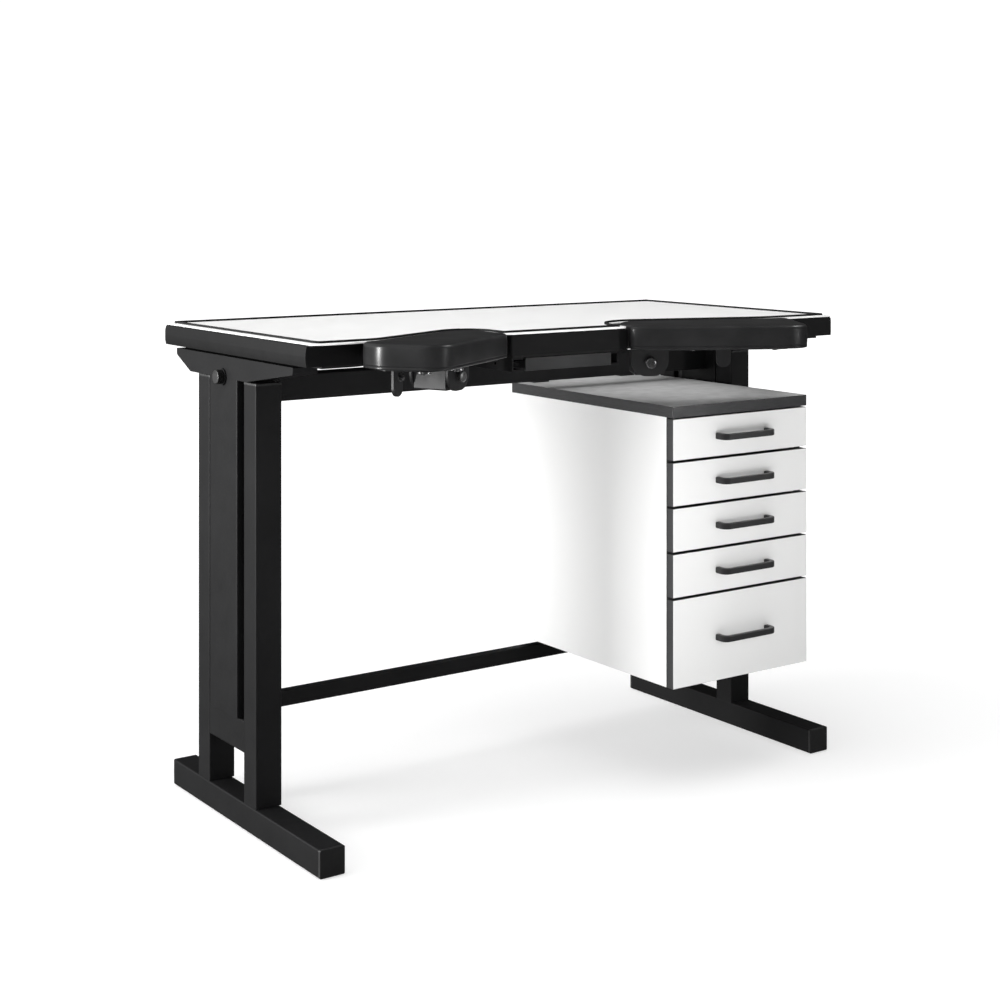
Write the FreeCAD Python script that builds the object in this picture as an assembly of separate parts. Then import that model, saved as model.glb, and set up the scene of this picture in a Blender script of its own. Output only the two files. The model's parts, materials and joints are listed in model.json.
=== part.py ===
"""Height-adjustable bench with two tilting armrests and a hanging cabinet of five drawers.

Frame: +X to the user's right, +Y away from the user, +Z up, in millimetres.
The origin is the bottom centre of the whole bench. Each node is written to parts/NODE.step.
"""
import FreeCAD, Part
import math
import os

from FreeCAD import Vector

# Overall plan of the bench
TOP_WIDTH = 1257.0          # worktop, side to side
TOP_DEPTH = 613.0           # worktop, front lip to back
FRONT = -213.0              # y of the front lip and of the feet's front ends
BACK = FRONT + TOP_DEPTH

# Steel frame of square tube
TUBE = 50.0
WALL = 2.5
TUBE_ROUND = 3.0
GLIDE = 2.0                 # the feet stand this high on their glides
FOOT_LENGTH = 600.0
LEG_X = 590.0               # centre of each leg, left and right of the middle
UPRIGHT_Y = (FRONT + 266.0, FRONT + 461.0)
UPRIGHT_X = (561.0, 615.0)  # inner and outer faces of the uprights
UPRIGHT_TOP = 832.0
TIE_LOW, TIE_HIGH = 144.0, 205.0
COLUMN_DEPTH = 116.0
COLUMN_Y = FRONT + 363.5
COLUMN_PROUD = 6.5          # the column stands out of the uprights' outer faces
COLUMN_LOW = 206.0
BRACKET_LOW, BRACKET_TOP = 838.0, 879.5
BEAM_LOW = 788.0
SCREW_X = 585.0
SCREW_Y = (FRONT + 150.0, FRONT + 210.0, FRONT + 530.0, FRONT + 556.0)
CROSSBAR = (20.0, 32.0)     # depth and height
CROSSBAR_LOW = 164.0

# Worktop, from the underside up
EDGING_LOW = 884.5
BACKING_LOW = 921.5
SHEET_LOW = 924.0
SHEET_TOP = 927.0
BEAD_TOP = 931.0
OVERHANG = 27.0             # the sheet stands this far over the board at the front left
BEAD_INSET, BEAD_HALF = 14.0, 2.0
BEAD_SHIFT = 9.0            # the bead runs this much nearer the edge beside the left pad
BULGE = 2.0                 # crown of the side edging

# Cut-outs in the front edge: x where each slanted edge starts, its slope, and its inner side
LEFT_CUT = (-510.6, 25.2, -222.5)
RIGHT_CUT = (447.0, 19.2, 74.0)

# Armrests
PAD_LOW, PAD_TOP = 884.0, 930.0
PAD_ROUND = 6.0
PLATE = 5.0                 # thickness of the armrest's ears
SHELF = 4.0                 # thickness of the steel plate under the pad
ARM_HALF, ARM_LOW, ARM_TOP = 13.0, 871.0, 877.0
PIVOT_Z = 852.5
EAR_LOW = 826.0
EAR_WIDTH = 74.0
EAR_SPAN = 84.0             # from the front ear's front face to the rear ear's back face

# Catch tray under the middle of the front edge
TRAY_X = (-158.0, 49.0)
TRAY_Y = FRONT + 27.0
TRAY_Z = (851.5, 876.6)
TRAY_DEPTH = 270.0

# Cabinet
CAB_X = (157.0, 522.0)
CAB_Y = (FRONT - 32.0, FRONT + 515.0)
CAB_Z = (212.0, 767.5)
SLAB = 22.5
FRONTS_TOP = 742.0          # top of the highest drawer front
BOARD = 18.0
FRONT_HEIGHTS = (81.0, 85.0, 85.0, 85.0, 174.0)
FRONT_GAP = 5.0
BOX_HEIGHTS = (52.0, 60.0, 60.0, 60.0, 140.0)
BOX_LIFTS = (12.0, 12.0, 12.0, 12.0, 22.0)      # each box's bottom above its front's bottom
RUNNER = 12.7               # room for one slide, each side of a drawer
BOX_LENGTH = 480.0
HANDLE_SPAN = 142.0
HANDLE_BAR = 12.5
HANDLE_REACH = 29.0

PLANES = {
    "x": lambda u, v, w: Vector(w, u, v),
    "y": lambda u, v, w: Vector(u, w, v),
    "z": lambda u, v, w: Vector(u, v, w),
}


def save(name, *solids):
    """Write one node: a single solid, or a group of alike solids."""
    shape = solids[0] if len(solids) == 1 else Part.makeCompound(list(solids))
    if not shape.isValid():
        raise ValueError(name + " is not a valid shape")
    shape.exportStep(os.path.join("parts", name + ".step"))


def prism(axis, corners, radii, low, high):
    """A prism along one axis; its outline has the given corners, rounded by the given radii."""
    place = PLANES[axis]
    if not isinstance(radii, (list, tuple)):
        radii = [radii] * len(corners)
    runs = []
    arcs = []
    for i, corner in enumerate(corners):
        here = Vector(corner[0], corner[1], 0)
        last = Vector(*corners[i - 1], 0)
        following = Vector(*corners[(i + 1) % len(corners)], 0)
        back = (last - here).normalize()
        ahead = (following - here).normalize()
        if radii[i] < 0.01:
            runs.append((here, here))
            arcs.append(None)
            continue
        half = back.getAngle(ahead) / 2
        reach = radii[i] / math.tan(half)
        centre = here + (back + ahead).normalize() * (radii[i] / math.sin(half))
        middle = centre + (here - centre).normalize() * radii[i]
        runs.append((here + back * reach, here + ahead * reach))
        arcs.append(middle)
    edges = []
    for i, (start, end) in enumerate(runs):
        points = [place(p.x, p.y, low) for p in (start, end)]
        if arcs[i] is not None:
            middle = place(arcs[i].x, arcs[i].y, low)
            edges.append(Part.Arc(points[0], middle, points[1]).toShape())
        after = runs[(i + 1) % len(runs)][0]
        onward = place(after.x, after.y, low)
        if (onward - points[1]).Length > 1e-6:
            edges.append(Part.LineSegment(points[1], onward).toShape())
    face = Part.Face(Part.Wire(Part.__sortEdges__(edges)))
    return face.extrude(place(0, 0, high - low))


def block(x, y, z, axis="z", rounding=0.0):
    """A box between pairs of limits, with the four edges along one axis rounded."""
    spans = {"x": (y, z, x), "y": (x, z, y), "z": (x, y, z)}[axis]
    (u0, u1), (v0, v1), (low, high) = spans
    return prism(axis, [(u0, v0), (u1, v0), (u1, v1), (u0, v1)], rounding, low, high)


def tube(x, y, z, axis):
    """A square or flat tube along one axis, with the frame's wall and rounding."""
    limits = {"x": x, "y": y, "z": z}
    inner = {a: s if a == axis else (s[0] + WALL, s[1] - WALL) for a, s in limits.items()}
    outer = block(x, y, z, axis, TUBE_ROUND)
    return outer.cut(block(inner["x"], inner["y"], inner["z"], axis, TUBE_ROUND - 1))


def rod(start, end, radius):
    """A round bar between two points."""
    start, end = Vector(*start), Vector(*end)
    return Part.makeCylinder(radius, (end - start).Length, start, end - start)


def span(centre, width):
    """The limits of a width about its centre."""
    return (centre - width / 2, centre + width / 2)


def softened(solid, radius, axis, level):
    """The solid with the edges of its flat face at one level filleted."""
    tolerance = 0.01
    edges = []
    for edge in solid.Edges:
        box = edge.BoundBox
        spans = {"x": (box.XMin, box.XMax), "y": (box.YMin, box.YMax), "z": (box.ZMin, box.ZMax)}
        low, high = spans[axis]
        if abs(low - level) < tolerance and abs(high - level) < tolerance:
            edges.append(edge)
    return solid.makeFillet(radius, edges)


def bolt(head, shank, direction, head_radius, head_height, shank_radius):
    """A bolt: its head stands out of the point along direction, and its shank runs the other way."""
    top = head + direction * head_height
    cap = Part.makeCylinder(head_radius, head_height, head, direction)
    rim = [e for e in cap.Edges if (e.BoundBox.Center - top).Length < 0.01 and len(e.Vertexes) == 1]
    cap = cap.makeFillet(head_height * 0.3, rim[:1])
    return cap.fuse(Part.makeCylinder(shank_radius, shank, head, direction * -1)).removeSplitter()


# ---------------------------------------------------------------- base frame

def feet():
    """Two floor tubes with end caps and glides."""
    caps = []
    glides = []
    cap = 6.0
    z = (GLIDE, GLIDE + TUBE)
    for side, name in ((-1, "left_foot"), (1, "right_foot")):
        x = span(side * LEG_X, TUBE)
        y = (FRONT + cap, FRONT + FOOT_LENGTH - cap)
        foot = tube(x, y, z, "y")
        for place in (FRONT + 45.0, FRONT + FOOT_LENGTH - 45.0):
            under = Vector(side * LEG_X, place, GLIDE)
            foot = foot.cut(Part.makeCylinder(5.3, WALL, under))
            pad = Part.makeCylinder(19.0, GLIDE, under - Vector(0, 0, GLIDE))
            stem = Part.makeCylinder(5.0, 22.0, under)
            glides.append(pad.fuse(stem))
        save(name, foot)
        for low, outward in ((FRONT, FRONT), (FRONT + FOOT_LENGTH - cap, FRONT + FOOT_LENGTH)):
            head = softened(block(x, (low, low + cap), z, "y", TUBE_ROUND), 1.2, "y", outward)
            inside = low + cap if outward == FRONT else low - 14.0
            lip = WALL + 0.2
            fill_x, fill_z = (x[0] + lip, x[1] - lip), (z[0] + lip, z[1] - lip)
            plug = block(fill_x, (inside, inside + 14.0), fill_z, "y", 1.5)
            caps.append(head.fuse(plug).removeSplitter())
    save("foot_caps", *caps)
    save("levelling_glides", *glides)


def uprights():
    """Two tubes a side, a tie between them, and plastic guides and caps."""
    caps = []
    guides = []
    low = GLIDE + TUBE
    for side, word in ((-1, "left"), (1, "right")):
        x = span(side * LEG_X, TUBE)
        across = sorted(side * face for face in UPRIGHT_X)
        for place, y in zip(("front", "rear"), UPRIGHT_Y):
            save(word + "_" + place + "_upright", tube(across, span(y, TUBE), (low, UPRIGHT_TOP), "z"))
            caps.append(block(across, span(y, TUBE), (UPRIGHT_TOP, UPRIGHT_TOP + 4.0), "z", TUBE_ROUND))
        gap = (UPRIGHT_Y[0] + TUBE / 2, UPRIGHT_Y[1] - TUBE / 2)
        save(word + "_leg_tie", tube((x[0] + 1, x[1] - 1), gap, (TIE_LOW, TIE_HIGH), "y"))
        column = span(COLUMN_Y, COLUMN_DEPTH)
        for y in ((gap[0], column[0] - 0.5), (column[1] + 0.5, gap[1])):
            guides.append(block((x[0] + 9, x[1] - 9), y, (TIE_HIGH, UPRIGHT_TOP - 2), "z", 1.0))
    save("upright_caps", *caps)
    save("guide_strips", *guides)


def crossbar():
    """The flat tube that joins the two rear uprights, and its bolts."""
    plate = 4.0
    inner = UPRIGHT_X[0]
    y = span(UPRIGHT_Y[1], CROSSBAR[0])
    z = (CROSSBAR_LOW, CROSSBAR_LOW + CROSSBAR[1])
    bar = tube((-inner + plate, inner - plate), y, z, "x")
    bolts = []
    for side in (-1, 1):
        flange = block(sorted((side * inner, side * (inner - plate))), span(UPRIGHT_Y[1], 46.0),
                       (z[0] - 34, z[1] + 4), "x", 4.0)
        bar = bar.fuse(flange)
        for offset in (-13.0, 13.0):
            head = Vector(side * (inner - plate), UPRIGHT_Y[1] + offset, z[0] - 18)
            hole = Part.makeCylinder(4.4, 20.0, head - Vector(side * 10, 0, 0), Vector(side, 0, 0))
            bar = bar.cut(hole)
            bolts.append(bolt(head, plate, Vector(-side, 0, 0), 7.0, 5.0, 4.2))
        for x in (385.0, 436.0):
            bar = bar.cut(Part.makeCylinder(3.0, 8.0, Vector(side * x, UPRIGHT_Y[1], z[1] - 4)))
    save("crossbar", bar.removeSplitter())
    save("crossbar_bolts", *bolts)


# ---------------------------------------------------------------- lifting frame

def columns():
    """The inner columns, the brackets on them, and the lock knobs in their outer faces."""
    outer = LEG_X + TUBE / 2 + COLUMN_PROUD
    y0, y1 = span(COLUMN_Y, COLUMN_DEPTH)
    tip = FRONT + 87.0
    tail = FRONT + 571.0
    outline = [(tip, BRACKET_TOP), (tip, 866.0), (FRONT + 268.0, BRACKET_LOW), (FRONT + 508.0, BRACKET_LOW),
               (tail, 867.0), (tail, BRACKET_TOP)]
    pocket = [(tip + 6, BRACKET_TOP - 4), (tip + 6, 869.0), (FRONT + 270.0, BRACKET_LOW + 4),
              (FRONT + 506.0, BRACKET_LOW + 4), (tail - 6, 869.0), (tail - 6, BRACKET_TOP - 4)]
    washers = []
    for side, word in ((-1, "left"), (1, "right")):
        x = sorted((side * outer, side * (outer - TUBE)))
        shaft = ((side * (outer - 14), FRONT + 365.0, 840.0), (side * (outer + 1), FRONT + 365.0, 840.0))
        column = tube(x, (y0, y1), (COLUMN_LOW, BRACKET_LOW), "z").cut(rod(*shaft, 6.3))
        bracket = prism("x", outline, [1.5, 5, 20, 6, 6, 1.5], *x)
        hollow = sorted((side * (outer - 4), side * (outer - TUBE - 1)))
        bracket = bracket.cut(prism("x", pocket, 0, *hollow)).cut(rod(*shaft, 6.3))
        for y in SCREW_Y:
            hole = Vector(side * SCREW_X, y, BRACKET_TOP - 5.0)
            bracket = bracket.cut(Part.makeCylinder(2.5, 6.0, hole))
        save(word + "_column", column)
        save(word + "_top_bracket", bracket)
        face = Vector(side * outer, FRONT + 365.0, 840.0)
        away = Vector(side, 0, 0)
        washer = Part.makeCylinder(16.5, 3.0, face, away)
        washers.append(washer.cut(Part.makeCylinder(6.3, 3.0, face, away)))
        save(word + "_lock_knob", lock_knob(face, away))
    save("knob_washers", *washers)


def lock_knob(face, away):
    """A round knob with grip notches and a stub that goes through the washer into the column."""
    start = face + away * 3.4
    body = Part.makeCylinder(13.5, 12.6, start, away)
    end = start + away * 12.6
    rim = [e for e in body.Edges if len(e.Vertexes) == 1 and (e.BoundBox.Center - end).Length < 0.01]
    body = body.makeFillet(2.0, rim[:1])
    for k in range(12):
        turn = math.radians(30.0 * k)
        groove = start + Vector(0, math.cos(turn), math.sin(turn)) * 14.6
        body = body.cut(Part.makeCylinder(2.0, 9.0, groove - away * 0.1, away))
    return body.fuse(Part.makeCylinder(6.25, 15.0, start, away * -1)).removeSplitter()


def beam():
    """The square tube between the two columns."""
    inner = LEG_X + TUBE / 2 + COLUMN_PROUD - TUBE
    save("upper_beam", tube((-inner, inner), span(COLUMN_Y - 0.5, TUBE), (BEAM_LOW, BEAM_LOW + TUBE), "x"))


# ---------------------------------------------------------------- worktop

def worktop_outline(insets, sides, front_left, tongue, others):
    """Corners and radii of the worktop's plan, set in from the lip.

    The insets are, from left to right: front edge, slanted edge, inner side, middle of the front,
    inner side, slanted edge and front edge. Three radii are given: of the front left corner, of the
    tongue between the two cut-outs, and of the other three corners.
    """
    left_front, left_slant, left_wall, middle, right_wall, right_slant, right_front = insets
    half = TOP_WIDTH / 2 - sides
    left = cut_out(LEFT_CUT, 1, left_front, left_slant, left_wall, middle)
    right = cut_out(RIGHT_CUT, -1, right_front, right_slant, right_wall, middle)
    corners = [(-half, FRONT + left_front)] + left + right[::-1]
    corners += [(half, FRONT + right_front), (half, BACK - sides), (-half, BACK - sides)]
    radii = [front_left, 100 - left_front, 50 + left_slant, tongue,
             tongue, 71 + right_slant, 330 - right_front, others, others, others]
    return corners, radii


def cut_out(shape, side, front, slant, wall, middle):
    """The three corners of one cut-out: start of the slanted edge, inmost corner, and inner side's end."""
    start, slope, inner = shape
    angle = math.radians(slope)
    edge = Vector(start - side * slant * math.sin(angle), FRONT + slant * math.cos(angle), 0)
    entry = edge.x + side * (FRONT + front - edge.y) / math.tan(angle)
    inner_x = inner + side * wall
    depth = edge.y + (inner_x - edge.x) * side * math.tan(angle)
    return [(entry, FRONT + front), (inner_x, depth), (inner_x, FRONT + middle)]


def sheet(inset, sides, low, high):
    """A flat layer with the worktop's plan, set in along its front, and less so beside the left pad."""
    front_left, tongue = max(25 - inset, 2), max(18 - inset, 2)
    along_pad = max(inset - BEAD_SHIFT, 0.0)
    insets = [inset, along_pad, along_pad, inset, inset, inset, inset]
    return prism("z", *worktop_outline(insets, sides, front_left, tongue, 3), low, high)


def core(inset, sides, low, high):
    """A layer of the board below the sheet, which is cut back under the front left of the lip."""
    cut_back = (OVERHANG, OVERHANG, 13.0, 1.0, 3.0, 3.0, 1.0)
    return prism("z", *worktop_outline([c + inset for c in cut_back], sides, 2, 3, 2), low, high)


def barrel(axis, limits, deep):
    """A bar with crowned long sides, from the edging's underside to its top."""
    low, high = EDGING_LOW, BACKING_LOW
    middle = (low + high) / 2
    place = PLANES[axis]
    a, b = limits
    near, far = a + BULGE, b - BULGE
    rows = [(near, low), (far, low), (b, middle), (far, high), (near, high), (a, middle)]
    p = [place(u, v, -deep) for u, v in rows]
    edges = [Part.LineSegment(p[0], p[1]).toShape(), Part.Arc(p[1], p[2], p[3]).toShape(),
             Part.LineSegment(p[3], p[4]).toShape(), Part.Arc(p[4], p[5], p[0]).toShape()]
    return Part.Face(Part.Wire(edges)).extrude(place(0, 0, 2 * deep))


def worktop():
    """Board, crowned edging, black backing, white sheet in two parts and the bead between them."""
    thick = 3.0
    deep = 12.0
    upper = core(thick, deep, EDGING_LOW, BACKING_LOW)
    lower = core(thick + 5.0, 36.0, BRACKET_TOP, EDGING_LOW)
    band = core(0, 0, EDGING_LOW, BACKING_LOW).cut(upper)
    half = TOP_WIDTH / 2
    band = band.common(barrel("y", (-half, half), 900.0)).common(barrel("x", (FRONT - 50.0, BACK), 900.0))
    save("worktop_board", lower.fuse(upper).removeSplitter())
    save("worktop_edging", band)
    save("worktop_backing", sheet(0.8, BULGE + 0.5, BACKING_LOW, SHEET_LOW))
    inner = BEAD_INSET + BEAD_HALF
    outer = BEAD_INSET - BEAD_HALF
    lip = softened(sheet(0, BULGE, SHEET_LOW, SHEET_TOP), 0.8, "z", SHEET_TOP)
    save("worktop_rim", lip.cut(sheet(outer, BULGE + outer, SHEET_LOW, SHEET_TOP)))
    save("worktop_surface", sheet(inner, BULGE + inner, SHEET_LOW, SHEET_TOP))
    bead = sheet(outer, BULGE + outer, SHEET_LOW, BEAD_TOP)
    bead = bead.cut(sheet(inner, BULGE + inner, SHEET_LOW, BEAD_TOP))
    save("worktop_bead", softened(bead, 1.2, "z", BEAD_TOP))


def bracket_screws():
    """The screws that hold the brackets to the worktop, driven from below."""
    screws = []
    for side in (-1, 1):
        for y in SCREW_Y:
            head = Vector(side * SCREW_X, y, BRACKET_TOP - 4.0)
            screws.append(bolt(head, 4.0, Vector(0, 0, -1), 5.0, 3.0, 2.4))
    return screws


# ---------------------------------------------------------------- armrests

def armrest(word, corners, radii, ear, slope, rear_half, tab):
    """One armrest: its pad, the carrier that tilts with it, the fixed bracket, and the pivot bolt.

    The carrier and the bracket are drawn about the front ear: x along the ears, y back along the pivot.
    The tab is a second, shorter plate beside the ears, given by its place and its lower end.
    """
    pad = prism("z", corners, radii, PAD_LOW, PAD_TOP)
    pad = softened(softened(pad, PAD_ROUND, "z", PAD_TOP), 2.5, "z", PAD_LOW)
    save(word + "_armrest_pad", pad)
    turn = FreeCAD.Rotation(Vector(0, 0, 1), slope)
    place = FreeCAD.Placement(Vector(ear[0], ear[1], 0), turn)
    bracket = armrest_bracket()
    bracket.Placement = place
    save(word + "_armrest_bracket", bracket)
    ears = armrest_ears(rear_half)
    ears.Placement = place
    middle_x = sum(x for x, y in corners) / len(corners)
    middle_y = sum(y for x, y in corners) / len(corners)
    inset = [(middle_x + (x - middle_x) * 0.86, middle_y + (y - middle_y) * 0.72) for x, y in corners]
    shelf = PAD_LOW - SHELF
    plate = prism("z", inset, [min(r, 12) for r in radii], shelf, PAD_LOW)
    tab_x, tab_y, tab_low = tab
    half = 15.0
    shape = [(-half, tab_low), (half, tab_low), (half, shelf + 1), (-half, shelf + 1)]
    hanging = prism("y", shape, [half - 0.5, half - 0.5, 0, 0], 0, PLATE)
    hanging = hanging.fuse(block((-half, half), (-30.0, PLATE), (shelf, PAD_LOW)))
    hanging.Placement = FreeCAD.Placement(Vector(tab_x, tab_y, 0), turn)
    save(word + "_armrest_carrier", plate.multiFuse([ears, hanging]).removeSplitter())
    outward = turn.multVec(Vector(0, -1, 0))
    return bolt(Vector(ear[0], ear[1], PIVOT_Z) + outward * 0.4, EAR_SPAN - 0.5, outward, 11.0, 12.0, 8.0)


def armrest_bracket():
    """The fixed part: a folded housing with a sleeve for the bolt, and an arm under the worktop."""
    y0, y1 = PLATE + 5.0, EAR_SPAN - PLATE - 1.0
    low, high = EAR_LOW + 1.5, ARM_LOW
    wall = 4.0
    housing = block((-30, 30), (y0, y1), (low, high), "y", 3.0)
    housing = housing.cut(block((-30 + wall, 30 - wall), (y0 + wall, y1 - wall), (low + wall, high + 1)))
    sleeve = rod((0, y0, PIVOT_Z), (0, y1, PIVOT_Z), 12.0)
    arm = block((-ARM_HALF, ARM_HALF), (y0, EAR_SPAN + 24.0), (ARM_LOW, ARM_TOP))
    flange = block((-36, 36), (EAR_SPAN + 20.0, EAR_SPAN + 76.0), (ARM_LOW, BRACKET_TOP), "z", 4.0)
    bracket = housing.multiFuse([sleeve, arm, flange])
    return bracket.cut(rod((0, 0, PIVOT_Z), (0, EAR_SPAN, PIVOT_Z), 8.03)).removeSplitter()


def armrest_ears(rear_half):
    """The moving ears and the tab that joins them; the rear ear has a window for the fixed arm."""
    shelf = PAD_LOW - SHELF
    ears = []
    for half, y, top_radius in ((EAR_WIDTH / 2, 0, 0), (rear_half, EAR_SPAN - PLATE, 14)):
        shape = [(-half, EAR_LOW), (half, EAR_LOW), (half, shelf + 1), (-half, shelf + 1)]
        radius = min(30, half - 1)
        ears.append(prism("y", shape, [radius, radius, top_radius, top_radius], y, y + PLATE))
    front_ear, rear_ear = ears
    room = ARM_HALF + 3.0
    rear_ear = rear_ear.cut(block((-room, room), (0, EAR_SPAN + 1), (ARM_LOW - 2.0, shelf), "y", 2.0))
    tab = block((-26, 26), (0, EAR_SPAN), (shelf, PAD_LOW))
    joined = tab.multiFuse([front_ear, rear_ear])
    return joined.cut(rod((0, -5, PIVOT_Z), (0, EAR_SPAN + 5, PIVOT_Z), 8.06)).removeSplitter()


def armrests():
    """Both armrests; each pad follows its cut-out a few millimetres away."""
    left = [(-541.0, FRONT - 9), (-543.0, FRONT - 74), (-468.0, FRONT - 165), (-224.0, FRONT - 12),
            (-230.5, FRONT + 12), (-230.5, FRONT + 127.0), (-517.0, FRONT - 9)]
    right = [(108.0, FRONT + 111), (88.0, FRONT + 8), (51.0, FRONT - 18), (366.0, FRONT - 205.8),
             (486.0, FRONT - 9), (445.0, FRONT - 9)]
    bolts = [
        armrest("left", left, [14, 38, 45, 8, 6, 47, 38], (-317.0, FRONT + 16), 25.0,
                EAR_WIDTH / 2, (-449.0, FRONT + 12, 824.0)),
        armrest("right", right, [50, 14, 16, 52.6, 12, 100], (131.0, FRONT + 7), -31.0,
                28.0, (330.0, FRONT + 12, 832.0)),
    ]
    save("armrest_bolts", *bolts)


# ---------------------------------------------------------------- catch tray

def catch_tray():
    """The shallow steel tray and the two channels that it runs in."""
    x0, x1 = TRAY_X
    z0, z1 = TRAY_Z
    y0, y1 = TRAY_Y, TRAY_Y + TRAY_DEPTH
    wall = 2.0
    front = softened(block(TRAY_X, (y0, y0 + 3), TRAY_Z, "y", 1.5), 0.8, "y", y0)
    body = block((x0 + 6, x1 - 6), (y0 + 3, y1), (z0 + 3, z1 - 4))
    tray = [body.cut(block((x0 + 6 + wall, x1 - 6 - wall), (y0 + 3 + wall, y1 - wall), (z0 + 3 + wall, z1)))]
    rails = []
    for inner, outward, width in ((x0 - 2, -1, 26.0), (x1 + 2, 1, 19.0)):
        reach = sorted((inner, inner + outward * width))
        channel = block(reach, (y0 + 4, y1 + 20), (z0 - 1, BRACKET_TOP), "y", 1.0)
        hollow = sorted((inner - outward, inner + outward * (width - 3)))
        channel = channel.cut(block(hollow, (y0, y1 + 17), (z0 + 3, z1 - 3)))
        for y in (y0 + 60.0, y0 + 120.0):
            start, end = inner + outward * (width - 4), inner + outward * (width + 1)
            channel = channel.cut(rod((start, y, z0 + 12), (end, y, z0 + 12), 3.0))
        rails.append(channel)
        tongue = sorted((inner - outward * 9, inner + outward * (width - 4)))
        tray.append(block(tongue, (y0 + 30, y1), (z0 + 7, z0 + 16)))
    save("catch_tray", front.multiFuse(tray).removeSplitter())
    save("tray_rails", *rails)


# ---------------------------------------------------------------- cabinet

def cabinet():
    """Carcass panels, the hangers that carry it, and the fixed halves of the slides."""
    x0, x1 = CAB_X
    y0, y1 = CAB_Y
    z0, z1 = CAB_Z
    under = z1 - SLAB
    face = y0 + BOARD + 2.0
    slab = block(CAB_X, CAB_Y, (under, z1), "z", 1.0)
    save("cabinet_top", softened(slab, 0.8, "z", z1))
    save("cabinet_left_side", block((x0, x0 + BOARD), (face, y1), (z0, under), "z", 0.6))
    save("cabinet_right_side", block((x1 - BOARD, x1), (face, y1), (z0, under), "z", 0.6))
    inside = (x0 + BOARD, x1 - BOARD)
    save("cabinet_back", block(inside, (y1 - 10, y1 - 2), (z0 + BOARD, under)))
    save("cabinet_bottom", block(inside, (face, y1 - 2), (z0, z0 + BOARD)))

    hangers = []
    for x in (210.0, 455.0):
        web = block(span(x, 40.0), (y1 - 16, y1 - 12), (z1, BRACKET_TOP))
        for z in ((z1, z1 + 4.0), (BRACKET_TOP - 4.0, BRACKET_TOP)):
            web = web.fuse(block(span(x, 40.0), (y1 - 40, y1 - 12), z, "x", 0.5))
        hangers.append(web.removeSplitter())
    column_face = LEG_X + TUBE / 2 + COLUMN_PROUD - TUBE
    for z in (300.0, 690.0):
        hangers.append(block((x1, column_face), span(COLUMN_Y, 70.0), (z, z + 40.0), "y", 3.0))
    save("cabinet_hangers", *hangers)

    runners = []
    for box in box_limits():
        z = sum(box) / 2
        for wall, inward in ((inside[0], 1), (inside[1], -1)):
            length = (face + 2, face + 2 + BOX_LENGTH)
            rail = block(sorted((wall, wall + inward * 6.0)), length, span(z, 36.0), "y", 1.0)
            groove = sorted((wall + inward * 2.0, wall + inward * 7.0))
            runners.append(rail.cut(block(groove, (face, length[1] + 2), span(z, 28.0))))
    save("cabinet_runners", *runners)


def drawer_fronts():
    """Bottom and top of each drawer front, from the top drawer down."""
    top = FRONTS_TOP
    limits = []
    for height in FRONT_HEIGHTS:
        limits.append((top - height, top))
        top -= height + FRONT_GAP
    return limits


def box_limits():
    """Bottom and top of each drawer's box."""
    bottoms = [low + lift for (low, top), lift in zip(drawer_fronts(), BOX_LIFTS)]
    return [(bottom, bottom + height) for bottom, height in zip(bottoms, BOX_HEIGHTS)]


def drawers():
    """Five drawers: a front, a box with the moving halves of its slides, and a bow handle."""
    x0, x1 = CAB_X
    y0 = CAB_Y[0]
    behind = y0 + BOARD
    wall = 12.0
    box_x = (x0 + BOARD + RUNNER, x1 - BOARD - RUNNER)
    middle = (x0 + x1) / 2
    for number, (limits, box) in enumerate(zip(drawer_fronts(), box_limits()), 1):
        name = "drawer_" + str(number)
        face = block((x0, x1), (y0, behind), limits, "y", 0.8)
        face = softened(face, 0.8, "y", y0)
        body = block(box_x, (behind, behind + BOX_LENGTH), box)
        room = block((box_x[0] + wall, box_x[1] - wall), (behind + wall, behind + BOX_LENGTH - wall),
                     (box[0] + 6.0, box[1] + 1))
        slides = []
        for wall_x, outward in ((box_x[0], -1), (box_x[1], 1)):
            reach = (behind + 4, behind + BOX_LENGTH - 4)
            across = sorted((wall_x, wall_x + outward * 10.0))
            slides.append(block(across, reach, span(sum(box) / 2, 26.0), "y", 1.0))
        save(name + "_front", face)
        save(name + "_box", body.cut(room).multiFuse(slides).removeSplitter())
        save(name + "_handle", handle(middle, y0, sum(limits) / 2))


def handle(x, y, z):
    """A flat bow: a straight bar whose ends bend round to two feet on the drawer front."""
    half = HANDLE_SPAN / 2
    out = y - HANDLE_REACH
    thick = 8.0
    outer = [(x - half, y), (x - half, out), (x + half, out), (x + half, y)]
    inner = [(x - half + thick + 2, y), (x - half + thick + 2, out + thick),
             (x + half - thick - 2, out + thick), (x + half - thick - 2, y)]
    bow = prism("z", outer, [0.5, 15, 15, 0.5], z - HANDLE_BAR / 2, z + HANDLE_BAR / 2)
    bow = bow.cut(prism("z", inner, [0, 8, 8, 0], z - HANDLE_BAR, z + HANDLE_BAR))
    for level in (z - HANDLE_BAR / 2, z + HANDLE_BAR / 2):
        bow = softened(bow, 2.0, "z", level)
    return bow


def main():
    os.makedirs("parts", exist_ok=True)
    feet()
    uprights()
    crossbar()
    columns()
    beam()
    worktop()
    save("bracket_screws", *bracket_screws())
    armrests()
    catch_tray()
    cabinet()
    drawers()


main()
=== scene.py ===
"""Looks of the height-adjustable bench: materials, padded armrests, small fixings, light and camera."""

import json
import math

import bmesh
import bpy
import numpy as np
from mathutils import Matrix, Vector, geometry


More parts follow.
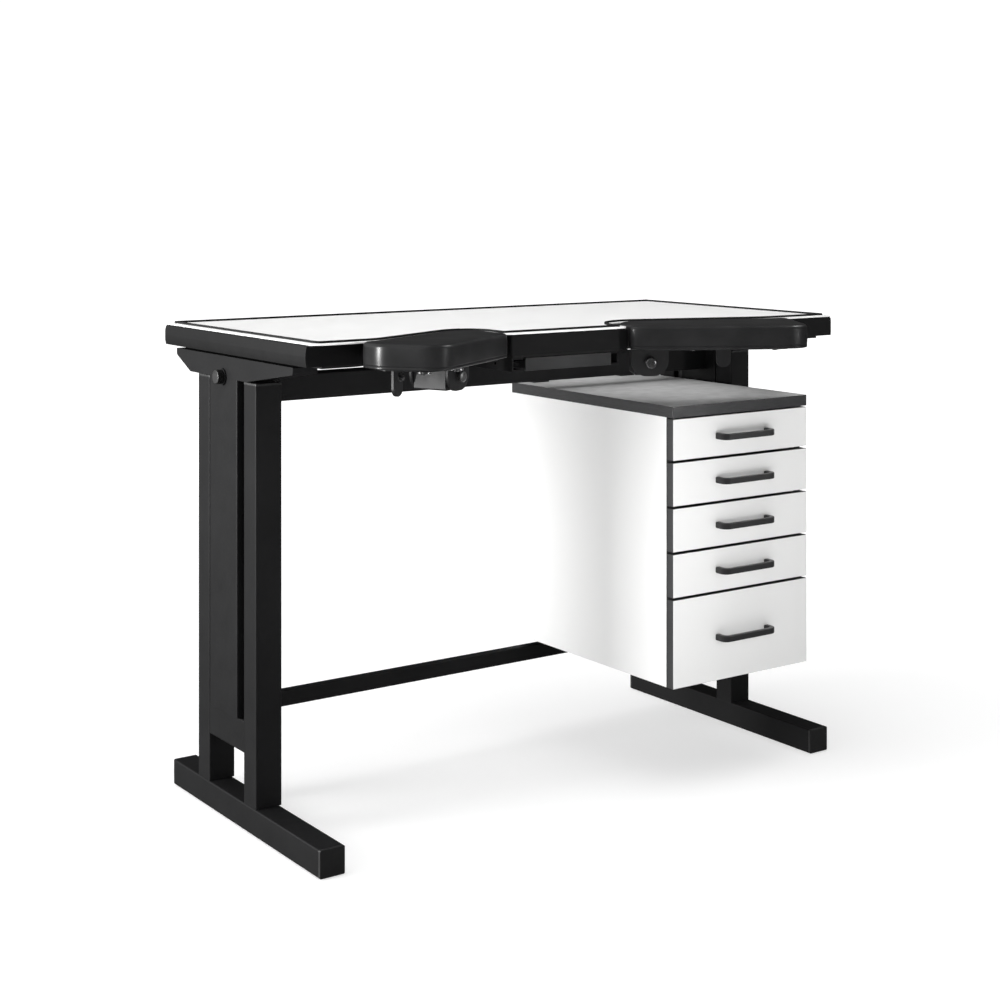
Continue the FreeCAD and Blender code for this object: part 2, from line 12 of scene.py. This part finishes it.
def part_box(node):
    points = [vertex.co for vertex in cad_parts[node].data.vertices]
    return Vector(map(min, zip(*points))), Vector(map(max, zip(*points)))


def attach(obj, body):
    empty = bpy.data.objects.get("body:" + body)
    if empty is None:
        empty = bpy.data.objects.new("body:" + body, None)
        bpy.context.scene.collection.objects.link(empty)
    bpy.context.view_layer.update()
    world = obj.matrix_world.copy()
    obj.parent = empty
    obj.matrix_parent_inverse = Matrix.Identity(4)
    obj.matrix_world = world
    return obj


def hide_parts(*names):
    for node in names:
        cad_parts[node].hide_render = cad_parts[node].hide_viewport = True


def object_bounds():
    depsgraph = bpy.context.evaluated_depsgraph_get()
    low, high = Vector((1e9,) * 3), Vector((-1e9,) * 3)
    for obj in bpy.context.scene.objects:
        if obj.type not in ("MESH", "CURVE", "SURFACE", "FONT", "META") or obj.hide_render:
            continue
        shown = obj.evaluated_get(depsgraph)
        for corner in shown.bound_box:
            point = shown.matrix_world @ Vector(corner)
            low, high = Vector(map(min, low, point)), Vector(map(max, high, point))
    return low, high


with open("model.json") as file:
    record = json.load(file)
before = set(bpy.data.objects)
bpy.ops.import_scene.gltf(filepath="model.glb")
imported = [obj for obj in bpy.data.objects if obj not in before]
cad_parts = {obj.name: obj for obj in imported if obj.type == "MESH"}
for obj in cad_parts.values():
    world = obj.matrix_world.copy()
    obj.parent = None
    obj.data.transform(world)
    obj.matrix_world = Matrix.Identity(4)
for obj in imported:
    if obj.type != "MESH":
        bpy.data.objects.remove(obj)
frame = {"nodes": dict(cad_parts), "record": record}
cad_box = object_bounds()

MM = 0.001

# Camera: level, at standing height, to the left of the bench and in front of it
CAMERA_PLACE = (-2.092, -2.8634, 1.190)
CAMERA_TURN = -35.007
LENS = 62.95
SENSOR = 36.0
SHIFT = -0.30816
SIGHT = 200.0               # nothing farther than this is drawn, in metres

# Room: the direction that glows, and the range of leaning towards it over which the glow grows
GLOW_SIDE = Vector((-0.90, 0.42, 0.60))
GLOW_LEAN = (0.42, 0.78)
GLOW = (0.05, 0.80)
FLOOR_HALF = 40.0
DOME = 38.0

# Lamps: name, place, target, width and height, power, whether it shows in gloss, whether it lights surfaces
LAMPS = (
    ("overhead", (-0.3, -0.2, 3.6), (0, 0, 0), (3.2, 3.2), 107.0, False, True),
    ("edge_glint", (2.3, -0.5, 3.4), (0, -0.2, 0.9), (0.8, 0.8), 40.0, True, False),
    ("front_fill", (1.6, -4.2, 1.9), (0.1, 0, 0.6), (3.0, 2.4), 16.0, False, True),
    ("left_box", (-4.0, 1.0, 1.4), (0, 0, 0.7), (1.4, 2.4), 132.0, False, True),
    ("left_strip", (-4.2, 1.25, 1.2), (-0.4, -0.3, 0.9), (0.4, 1.8), 440.0, True, False),
    ("front_strip", (2.6, -3.7, 1.2), (0, -0.3, 0.9), (0.4, 1.8), 30.0, True, False),
    ("knee_glow", (-0.2, -0.9, 0.5), (-0.2, 0.15, 0.82), (0.9, 0.3), 4.0, False, True),
    ("under_glow", (0.31, 0.13, 0.872), (0.31, 0.13, 0.0), (0.40, 0.66), 0.80, False, True),
)

# Padded armrests
OUTLINE_STEP = 3 * MM       # spacing of the points round a pad
OUTLINE_ROUNDS = 8          # times the outline is eased
PAD_EDGE = 8 * MM           # rounding of the top edge
PAD_BASE = 2 * MM           # rounding of the bottom edge
PAD_CROWN = 1.8 * MM        # swelling of the top
PAD_SWELL = 0.6 * MM        # swelling of the sides
CROWN_REACH = 22 * MM       # how far in from the edge the crown is reached
SEAM_HEIGHT = 5 * MM
SEAM_DEPTH = 0.9 * MM
TOP_DEPTHS = (0.12, 0.5, 1.1, 2.0, 3.2, 4.6, 6.2, 8.0, 11.0, 15.0, 20.0, 27.0, 35.0, 45.0, 56.0)

# Fixings: places in millimetres of the screws under each pad and of the nut on the left tab
PAD_SCREWS = {
    "left": [(-470, -320, 880), (-390, -300, 880), (-300, -216, 880)],
    "right": [(330, -350, 884), (405, -250, 880), (215, -236, 880)],
}
TAB_NUT, TAB_TURN = (-443, -198.2, 858), 25.0

WHITE = (0.90, 0.90, 0.895)


# ------------------------------------------------------------ shader helpers

def new_material(name):
    """An empty node material with one Principled shader; returns it with its tree and shader."""
    made = bpy.data.materials.new(name)
    made.use_nodes = True
    tree = made.node_tree
    return made, tree, tree.nodes["Principled BSDF"]


def node(tree, kind, links=None, **settings):
    """A node with its properties and input values set; links maps its inputs to other outputs."""
    made = tree.nodes.new(kind)
    for key, value in settings.items():
        if key in made.inputs:
            made.inputs[key].default_value = value
        else:
            setattr(made, key, value)
    for key, source in (links or {}).items():
        tree.links.new(source, made.inputs[key])
    return made


def noise(tree, scale, detail=3.0, stretch=(1, 1, 1)):
    """Noise in the bench's own metres, stretched along some axes."""
    place = node(tree, "ShaderNodeTexCoord").outputs["Object"]
    spread = node(tree, "ShaderNodeMapping", {"Vector": place}, Scale=stretch)
    made = node(tree, "ShaderNodeTexNoise", {"Vector": spread.outputs[0]}, Scale=scale, Detail=detail)
    return made.outputs["Fac"]


def fitted(tree, value, low, high, start=0.3, end=0.7):
    """A value taken from one range to another, clamped."""
    made = node(tree, "ShaderNodeMapRange", {"Value": value})
    made.inputs["From Min"].default_value = start
    made.inputs["From Max"].default_value = end
    made.inputs["To Min"].default_value = low
    made.inputs["To Max"].default_value = high
    return made.outputs[0]


def blended(tree, factor, first, second):
    """A colour between two colours or colour outputs."""
    made = tree.nodes.new("ShaderNodeMix")
    made.data_type = "RGBA"
    tree.links.new(factor, made.inputs[0])
    for socket, colour in ((made.inputs[6], first), (made.inputs[7], second)):
        if isinstance(colour, bpy.types.NodeSocket):
            tree.links.new(colour, socket)
        else:
            socket.default_value = (*colour, 1.0)
    return made.outputs[2]


def bumped(tree, shader, layers, edge=0.0):
    """Stacks bump layers of (height, strength, depth in metres) on the surface, and eases hard edges."""
    normal = None
    if edge:
        normal = node(tree, "ShaderNodeBevel", samples=4, Radius=edge).outputs[0]
    for height, strength, depth in layers:
        links = {"Height": height}
        if normal is not None:
            links["Normal"] = normal
        normal = node(tree, "ShaderNodeBump", links, Strength=strength, Distance=depth).outputs[0]
    tree.links.new(normal, shader.inputs["Normal"])


def edge_mask(tree, axis, start=0.75, end=0.9):
    """1 on the faces that look along an axis, 0 on those that look across it."""
    normal = node(tree, "ShaderNodeTexCoord").outputs["Normal"]
    parts = node(tree, "ShaderNodeSeparateXYZ", {"Vector": normal})
    size = node(tree, "ShaderNodeMath", {0: parts.outputs[axis]}, operation="ABSOLUTE").outputs[0]
    return fitted(tree, size, 0.0, 1.0, start, end)


# ---------------------------------------------------------------- materials

def edge_highlight_mask(tree):
    """1 along the edges, where a paler colour is painted on as a highlight, 0 on faces: where a bevelled
    normal leans away from the true one.
    """
    normal = node(tree, "ShaderNodeNewGeometry").outputs["Normal"]
    eased = node(tree, "ShaderNodeBevel", samples=4, Radius=1.2 * MM).outputs[0]
    links = {0: normal, 1: eased}
    same = node(tree, "ShaderNodeVectorMath", links, operation="DOT_PRODUCT").outputs["Value"]
    links = {0: fitted(tree, same, 1.0, 0.0, 0.80, 0.995), 1: fitted(tree, noise(tree, 60.0), 0.0, 0.55)}
    return node(tree, "ShaderNodeMath", links, operation="MULTIPLY").outputs[0]


def coated_steel(name, tone, rough, grain=900.0, depth=0.25, specular=0.5):
    """Powder coat: fine orange peel, uneven sheen, and a paler line painted along the edges as a highlight.
    """
    made, tree, shader = new_material(name)
    paler = tuple(c * 1.35 for c in tone)
    # Painted highlight: a paler colour laid along the edges.
    edge_highlight = tuple(c * 3.0 + 0.01 for c in tone)
    shade = blended(tree, fitted(tree, noise(tree, 7.0), 0.0, 1.0), tone, paler)
    shade = blended(tree, edge_highlight_mask(tree), shade, edge_highlight)
    tree.links.new(shade, shader.inputs["Base Color"])
    sheen = fitted(tree, noise(tree, 26.0, 5.0), rough - 0.05, rough + 0.06)
    tree.links.new(sheen, shader.inputs["Roughness"])
    shader.inputs["Specular IOR Level"].default_value = specular
    peel = (noise(tree, grain, 2.0), depth, 0.15 * MM)
    waves = (noise(tree, 180.0, 2.0), 0.1, 0.2 * MM)
    bumped(tree, shader, [peel, waves], 0.7 * MM)
    return made


def moulded_plastic(name, tone, rough):
    """Spark-eroded black plastic with a faint flow pattern."""
    made, tree, shader = new_material(name)
    paler = tuple(c * 1.4 for c in tone)
    shade = blended(tree, fitted(tree, noise(tree, 40.0, 4.0), 0.0, 1.0), tone, paler)
    tree.links.new(shade, shader.inputs["Base Color"])
    sheen = fitted(tree, noise(tree, 130.0, 4.0), rough - 0.06, rough + 0.08)
    tree.links.new(sheen, shader.inputs["Roughness"])
    bumped(tree, shader, [(noise(tree, 1500.0, 2.0), 0.35, 0.12 * MM)], 0.5 * MM)
    return made


def laminate(name, tone, rough, axis=None, edge_tone=(0.02, 0.02, 0.021), specular=0.5):
    """Pressed laminate with a fine stipple; where an axis is given, the faces across it are edge band."""
    made, tree, shader = new_material(name)
    darker = tuple(c * 0.975 for c in tone)
    shade = blended(tree, fitted(tree, noise(tree, 900.0, 2.0), 0.0, 1.0), darker, tone)
    shade = blended(tree, fitted(tree, noise(tree, 5.0), 0.0, 0.5), shade, darker)
    sheen = fitted(tree, noise(tree, 35.0, 5.0), rough - 0.04, rough + 0.05)
    if axis is not None:
        face = edge_mask(tree, axis)
        streaks = fitted(tree, noise(tree, 55.0, 4.0, (1, 1, 12)), 0.0, 1.0)
        band = blended(tree, streaks, edge_tone, tuple(c * 1.3 for c in edge_tone))
        shade = blended(tree, face, band, shade)
    tree.links.new(shade, shader.inputs["Base Color"])
    tree.links.new(sheen, shader.inputs["Roughness"])
    shader.inputs["Specular IOR Level"].default_value = specular
    bumped(tree, shader, [(noise(tree, 1100.0, 3.0), 0.12, 0.1 * MM)], 0.6 * MM)
    return made


def plated_steel(name, tone, rough, stretch):
    """Zinc-plated steel with drawn streaks and slight clouding."""
    made, tree, shader = new_material(name)
    duller = tuple(c * 0.72 for c in tone)
    shade = blended(tree, fitted(tree, noise(tree, 60.0, 5.0), 0.0, 1.0), duller, tone)
    tree.links.new(shade, shader.inputs["Base Color"])
    shader.inputs["Metallic"].default_value = 1.0
    streaks = noise(tree, 300.0, 3.0, stretch)
    tree.links.new(fitted(tree, streaks, rough - 0.08, rough + 0.12), shader.inputs["Roughness"])
    bumped(tree, shader, [(streaks, 0.15, 0.05 * MM)], 0.4 * MM)
    return made


def capped_bolt(name):
    """A blackened bolt whose end faces are bright, with a fine grain."""
    made, tree, shader = new_material(name)
    end = edge_mask(tree, 1, 0.65, 0.8)
    clouds = fitted(tree, noise(tree, 90.0, 4.0), 0.0, 1.0)
    dull = blended(tree, clouds, (0.012, 0.012, 0.012), (0.03, 0.03, 0.03))
    specks = fitted(tree, noise(tree, 150.0, 4.0), 0.0, 1.0)
    bright = blended(tree, specks, (0.42, 0.42, 0.425), (0.60, 0.60, 0.605))
    tree.links.new(blended(tree, end, dull, bright), shader.inputs["Base Color"])
    tree.links.new(fitted(tree, noise(tree, 260.0, 3.0), 0.24, 0.42), shader.inputs["Roughness"])
    tree.links.new(end, shader.inputs["Metallic"])
    bumped(tree, shader, [(noise(tree, 700.0, 2.0), 0.12, 0.08 * MM)], 0.5 * MM)
    return made


def padding(name):
    """Black leatherette: a fine grain, satin, with duller patches where arms rest."""
    made, tree, shader = new_material(name)
    patches = fitted(tree, noise(tree, 18.0, 4.0), 0.0, 1.0)
    shade = blended(tree, patches, (0.012, 0.012, 0.0124), (0.018, 0.018, 0.0186))
    tree.links.new(shade, shader.inputs["Base Color"])
    tree.links.new(fitted(tree, noise(tree, 22.0, 5.0), 0.31, 0.39), shader.inputs["Roughness"])
    shader.inputs["Specular IOR Level"].default_value = 0.25
    place = node(tree, "ShaderNodeTexCoord").outputs["Object"]
    cells = node(tree, "ShaderNodeTexVoronoi", {"Vector": place}, feature="DISTANCE_TO_EDGE", Scale=720.0)
    creases = fitted(tree, cells.outputs["Distance"], 0.0, 1.0, 0.0, 0.16)
    bumped(tree, shader, [(noise(tree, 120.0, 3.0), 0.06, 0.3 * MM), (creases, 0.11, 0.12 * MM)])
    return made


def rubber(name):
    """Soft matte black rubber with faint dust."""
    made, tree, shader = new_material(name)
    dust = fitted(tree, noise(tree, 45.0, 6.0), 0.0, 1.0, 0.45, 0.75)
    shade = blended(tree, dust, (0.010, 0.010, 0.010), (0.018, 0.018, 0.018))
    tree.links.new(shade, shader.inputs["Base Color"])
    tree.links.new(fitted(tree, noise(tree, 90.0, 4.0), 0.60, 0.80), shader.inputs["Roughness"])
    shader.inputs["Specular IOR Level"].default_value = 0.12
    bumped(tree, shader, [(noise(tree, 1300.0, 2.0), 0.3, 0.1 * MM)], 0.4 * MM)
    return made


def finishes():
    """One material for each of the record's slots."""
    return {
        "frame_black": coated_steel("frame_black", (0.007, 0.007, 0.0074), 0.54, specular=0.12),
        "armrest_steel": coated_steel("armrest_steel", (0.013, 0.013, 0.0135), 0.44, specular=0.3),
        "cap_plastic": moulded_plastic("cap_plastic", (0.006, 0.006, 0.0063), 0.50),
        "knob_plastic": moulded_plastic("knob_plastic", (0.006, 0.006, 0.006), 0.42),
        "plated_steel": plated_steel("plated_steel", (0.62, 0.62, 0.63), 0.34, (1, 1, 1)),
        "slide_steel": plated_steel("slide_steel", (0.66, 0.66, 0.68), 0.30, (8, 0.3, 8)),
        "board_core": laminate("board_core", (0.009, 0.009, 0.009), 0.60, specular=0.2),
        "edging_black": laminate("edging_black", (0.005, 0.005, 0.0053), 0.50, specular=0.13),
        "top_white": laminate("top_white", WHITE, 0.34),
        "bead_black": rubber("bead_black"),
        "pad_black": padding("pad_black"),
        "tray_grey": coated_steel("tray_grey", (0.014, 0.014, 0.0146), 0.42, 700.0, 0.12, 0.3),
        "cabinet_top_grey": laminate("cabinet_top_grey", (0.88, 0.88, 0.88), 0.22, 2, (0.028, 0.028, 0.029)),
        "cabinet_side": laminate("cabinet_side", WHITE, 0.36, 0),
        "front_white": laminate("front_white", (0.76, 0.76, 0.755), 0.36, 1, (0.030, 0.030, 0.031)),
        "drawer_wood": laminate("drawer_wood", (0.62, 0.58, 0.50), 0.45),
        "handle_black": coated_steel("handle_black", (0.013, 0.013, 0.0135), 0.38, 1400.0, 0.2),
    }


def dress(materials):
    """Gives every CAD node its slot's material."""
    for row in frame["record"]["subparts"]:
        piece = frame["nodes"][row["node"]]
        piece.data.materials.clear()
        piece.data.materials.append(materials[row["material_slot"]])


# ------------------------------------------------------------------- pieces

def finished(name, mesh, material, body):
    """An object of a mesh drawn in the bench's frame, riding on a body and painted as a slot."""
    piece = bpy.data.objects.new(name, mesh)
    bpy.context.scene.collection.objects.link(piece)
    mesh.materials.append(material)
    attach(piece, body)
    return piece


def outline_of(name, level, tolerance=0.4 * MM):
    """The closed outline of a CAD node's side walls, as the points at one level in order."""
    mesh = frame["nodes"][name].data
    work = bmesh.new()
    work.from_mesh(mesh)
    bmesh.ops.remove_doubles(work, verts=work.verts, dist=0.01 * MM)
    on_level = [v for v in work.verts if abs(v.co.z - level) < tolerance]
    ring = [on_level[0]]
    seen = {on_level[0]}
    while True:
        ahead = [e.other_vert(ring[-1]) for e in ring[-1].link_edges]
        ahead = [v for v in ahead if abs(v.co.z - level) < tolerance and v not in seen]
        if not ahead:
            break
        ring.append(min(ahead, key=lambda v: (v.co - ring[-1].co).length))
        seen.add(ring[-1])
    points = [v.co.to_2d() for v in ring]
    work.free()
    return points


def evenly(points, step, rounds):
    """A closed outline sampled again at one step all the way round, then eased by averaging neighbours."""
    runs = list(zip(points, points[1:] + points[:1]))
    total = sum((after - here).length for here, after in runs)
    count = round(total / step)
    out = []
    passed = 0.0
    for here, after in runs:
        length = (after - here).length
        while len(out) < count and len(out) * total / count < passed + length:
            out.append(here.lerp(after, (len(out) * total / count - passed) / length))
        passed += length
    for _ in range(rounds):
        out = [p * 0.5 + (out[i - 1] + out[(i + 1) % len(out)]) * 0.25 for i, p in enumerate(out)]
    return out


def inward(points):
    """The inward normal at each point of a closed outline."""
    normals = []
    area = sum(a.x * b.y - b.x * a.y for a, b in zip(points, points[1:] + points[:1]))
    side = 1.0 if area > 0 else -1.0
    for i in range(len(points)):
        run = points[(i + 1) % len(points)] - points[i - 1]
        normals.append(Vector((-run.y, run.x)).normalized() * side)
    return normals


def depths(points, outline):
    """How far each point is from a closed outline."""
    at = np.array([tuple(p) for p in points])
    start = np.array([tuple(p) for p in outline])
    run = np.roll(start, -1, axis=0) - start
    length = (run ** 2).sum(1)
    away = at[:, None, :] - start[None, :, :]
    share = np.clip((away * run).sum(2) / length, 0.0, 1.0)
    gap = away - share[:, :, None] * run
    return np.sqrt((gap ** 2).sum(2)).min(1)


def pad_wall(low, shoulder):
    """The rings of a pad's side, as (distance in from the outline, height): base, seam, swollen wall."""
    rings = []
    for k in range(5):
        turn = math.radians(22.5 * k)
        rings.append((PAD_BASE * (1 - math.sin(turn)), low + PAD_BASE * (1 - math.cos(turn))))
    seam = low + SEAM_HEIGHT
    rings += [(0.0, seam), (SEAM_DEPTH, seam + 0.5 * MM)]
    rings += [(SEAM_DEPTH, seam + 0.9 * MM), (0.0, seam + 1.4 * MM)]
    wall = seam + 2.5 * MM
    for k in range(8):
        share = k / 7
        rings.append((-PAD_SWELL * math.sin(math.pi * share), wall + (shoulder - wall) * share))
    return rings


def pad_top(work, outline, normals, shoulder):
    """The top of a pad: a triangulated sheet that rounds up from the shoulder and swells to its crown."""
    inner = []
    for d in TOP_DEPTHS:
        step = max(1, round(d / 6))
        ring = [p + n * d * MM for p, n in zip(outline[::step], normals[::step])]
        inner += [p for p, real in zip(ring, depths(ring, outline)) if real > d * MM * 0.97]
    border = [(i, (i + 1) % len(outline)) for i in range(len(outline))]
    points, _, faces = geometry.delaunay_2d_cdt(outline + inner, border, [], 1, 1e-6)[:3]
    top = []
    for p, d in zip(points, depths(points, outline)):
        rise = math.sqrt(max(0.0, PAD_EDGE ** 2 - max(0.0, PAD_EDGE - d) ** 2))
        swell = PAD_CROWN * (1 - math.exp(-max(0.0, d - PAD_EDGE * 0.3) / CROWN_REACH))
        top.append(work.verts.new((p.x, p.y, shoulder + rise + swell)))
    for face in faces:
        work.faces.new([top[i] for i in face])


def padded_form(name, node_name, material, body):
    """A crowned armrest pad: swollen sides, a seam above its base, a full rounded top edge."""
    low, high = (corner.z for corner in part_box(node_name))
    outline = evenly(outline_of(node_name, low + 2.5 * MM), OUTLINE_STEP, OUTLINE_ROUNDS)
    normals = inward(outline)
    shoulder = high - PAD_CROWN * 0.6 - PAD_EDGE
    work = bmesh.new()
    loops = []
    for d, z in pad_wall(low, shoulder):
        ring = [p + n * d for p, n in zip(outline, normals)]
        loops.append([work.verts.new((p.x, p.y, z)) for p in ring])
    for below, above in zip(loops, loops[1:]):
        for i in range(len(outline)):
            after = (i + 1) % len(outline)
            work.faces.new((below[i], below[after], above[after], above[i]))
    work.faces.new(loops[0][::-1])
    pad_top(work, outline, normals, shoulder)
    bmesh.ops.remove_doubles(work, verts=work.verts, dist=0.02 * MM)
    bmesh.ops.recalc_face_normals(work, faces=work.faces)
    for face in work.faces:
        face.smooth = len(face.verts) < 5
    mesh = bpy.data.meshes.new(name)
    work.to_mesh(mesh)
    work.free()
    piece = finished(name, mesh, material, body)
    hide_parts(node_name)


def turned(work, profile, place, sides):
    """Adds a round piece to a mesh: (radius, height) pairs in millimetres, turned about the place's own z."""
    rings = []
    for radius, height in profile:
        ring = []
        for k in range(sides):
            turn = 2 * math.pi * k / sides
            point = Vector((radius * math.cos(turn), radius * math.sin(turn), height)) * MM
            ring.append(work.verts.new(place @ point))
        rings.append(ring)
    for below, above in zip(rings, rings[1:]):
        for k in range(sides):
            after = (k + 1) % sides
            work.faces.new((below[k], below[after], above[after], above[k]))
    work.faces.new(rings[0][::-1])
    work.faces.new(rings[-1])


def fixings(name, profiles, places, material, body):
    """Small turned parts; each profile is a list of (radius, height) pairs and a number of sides."""
    work = bmesh.new()
    for place in places:
        for profile, sides in profiles:
            turned(work, profile, place, sides)
    bmesh.ops.recalc_face_normals(work, faces=work.faces)
    mesh = bpy.data.meshes.new(name)
    work.to_mesh(mesh)
    work.free()
    finished(name, mesh, material, body)


def pad_screws(word, pad_places, material):
    """The washers and socket screws under a pad."""
    washer = ([(12.6, 0.4), (12.6, -3.2), (11.8, -4.0), (5.4, -4.0)], 36)
    screw = ([(4.9, -4.0), (4.9, -5.2), (4.4, -5.8), (2.6, -5.8), (2.3, -4.3)], 24)
    places = [Matrix.Translation(Vector(p) * MM) for p in pad_places]
    fixings(word + "_pad_screws", [washer, screw], places, material, word + "_armrest")


def tab_nut(word, tab_place, slope, material):
    """The stud, nut and washer on an armrest's hanging tab."""
    disc = ([(7.6, -0.2), (7.6, 1.0), (7.2, 1.4), (3.0, 1.4)], 28)
    nut = ([(5.4, 1.4), (5.8, 1.9), (5.8, 5.4), (5.2, 6.0), (3.1, 6.0), (3.0, 5.2)], 6)
    stud = ([(2.6, 1.4), (2.6, 7.6), (2.1, 8.2)], 16)
    turn = Matrix.Rotation(math.radians(slope), 4, "Z") @ Matrix.Rotation(math.radians(90), 4, "X")
    place = Matrix.Translation(Vector(tab_place) * MM) @ turn
    fixings(word + "_tab_nut", [disc, nut, stud], [place], material, word + "_armrest")


# -------------------------------------------------------------------- stage

def studio():
    """A dark room that glows high up on the left, and its lamps."""
    world = bpy.data.worlds.new("room")
    bpy.context.scene.world = world
    world.use_nodes = True
    tree = world.node_tree
    tree.nodes.clear()
    place = node(tree, "ShaderNodeTexCoord").outputs["Generated"]
    lean = node(tree, "ShaderNodeVectorMath", {0: place}, operation="DOT_PRODUCT")
    lean.inputs[1].default_value = GLOW_SIDE.normalized()
    glow = fitted(tree, lean.outputs["Value"], *GLOW, *GLOW_LEAN)
    shade = node(tree, "ShaderNodeBackground", {"Strength": glow}, Color=(1, 1, 1, 1))
    out = node(tree, "ShaderNodeOutputWorld", {"Surface": shade.outputs[0]})
    out.is_active_output = True
    for row in LAMPS:
        lamp(*row)


def lamp(name, place, target, size, power, shines, fills):
    """A flat lamp turned to its target, out of the camera's sight."""
    data = bpy.data.lights.new(name, "AREA")
    data.shape = "RECTANGLE"
    data.size, data.size_y = size
    data.energy = power
    made = bpy.data.objects.new(name, data)
    bpy.context.scene.collection.objects.link(made)
    made.location = place
    made.rotation_euler = (Vector(target) - Vector(place)).to_track_quat("-Z", "Y").to_euler()
    made.visible_glossy = shines
    made.visible_diffuse = fills
    made.visible_camera = False


def stage_piece(name, work):
    """A piece of the studio that only the camera and diffuse light see."""
    mesh = bpy.data.meshes.new(name)
    work.to_mesh(mesh)
    work.free()
    piece = bpy.data.objects.new(name, mesh)
    bpy.context.scene.collection.objects.link(piece)
    piece.visible_glossy = False
    return piece


def floor():
    """A pale floor whose own faint glow, stronger far away, keeps it white out to the backdrop."""
    work = bmesh.new()
    bmesh.ops.create_grid(work, x_segments=8, y_segments=8, size=FLOOR_HALF)
    ground = stage_piece("floor", work)
    ground.location.z = cad_box[0].z - 0.2 * MM
    made, tree, shader = new_material("floor_white")
    clouds = fitted(tree, noise(tree, 0.7), 0.0, 1.0)
    shade = blended(tree, clouds, (0.52, 0.52, 0.52), (0.53, 0.53, 0.53))
    tree.links.new(shade, shader.inputs["Base Color"])
    shader.inputs["Roughness"].default_value = 0.9
    shader.inputs["Specular IOR Level"].default_value = 0.1
    place = node(tree, "ShaderNodeTexCoord").outputs["Object"]
    away = node(tree, "ShaderNodeVectorMath", {0: place}, operation="LENGTH").outputs["Value"]
    shader.inputs["Emission Color"].default_value = (1, 1, 1, 1)
    tree.links.new(fitted(tree, away, 0.58, 1.1, 1.2, 4.5), shader.inputs["Emission Strength"])
    ground.data.materials.append(made)


def backdrop():
    """A plain white dome far round the bench, which lights nothing."""
    work = bmesh.new()
    bmesh.ops.create_uvsphere(work, u_segments=48, v_segments=24, radius=DOME)
    bmesh.ops.reverse_faces(work, faces=work.faces)
    dome = stage_piece("backdrop", work)
    dome.visible_diffuse = False
    dome.visible_shadow = False
    made, _, shader = new_material("backdrop_white")
    shader.inputs["Base Color"].default_value = (0, 0, 0, 1)
    shader.inputs["Specular IOR Level"].default_value = 0.0
    shader.inputs["Emission Color"].default_value = (1, 1, 1, 1)
    shader.inputs["Emission Strength"].default_value = 1.05
    dome.data.materials.append(made)


def photographer():
    """The camera, level and turned to the bench, with its frame dropped below the horizon."""
    data = bpy.data.cameras.new("camera")
    data.lens = LENS
    data.sensor_width = SENSOR
    data.shift_y = SHIFT
    data.clip_end = SIGHT
    camera = bpy.data.objects.new("camera", data)
    bpy.context.scene.collection.objects.link(camera)
    camera.location = CAMERA_PLACE
    camera.rotation_euler = (math.pi / 2, 0.0, math.radians(CAMERA_TURN))
    bpy.context.scene.camera = camera
    bpy.context.scene.view_settings.view_transform = "Standard"


# --------------------------------------------------------------------- main

materials = finishes()
dress(materials)
for word in ("left", "right"):
    padded_form(word + "_pad", word + "_armrest_pad", materials["pad_black"], word + "_armrest")
blackened = capped_bolt("blackened_bolt")
frame["nodes"]["armrest_bolts"].data.materials[0] = blackened
for word, places in PAD_SCREWS.items():
    pad_screws(word, places, blackened)
tab_nut("left", TAB_NUT, TAB_TURN, blackened)
studio()
floor()
backdrop()
photographer()
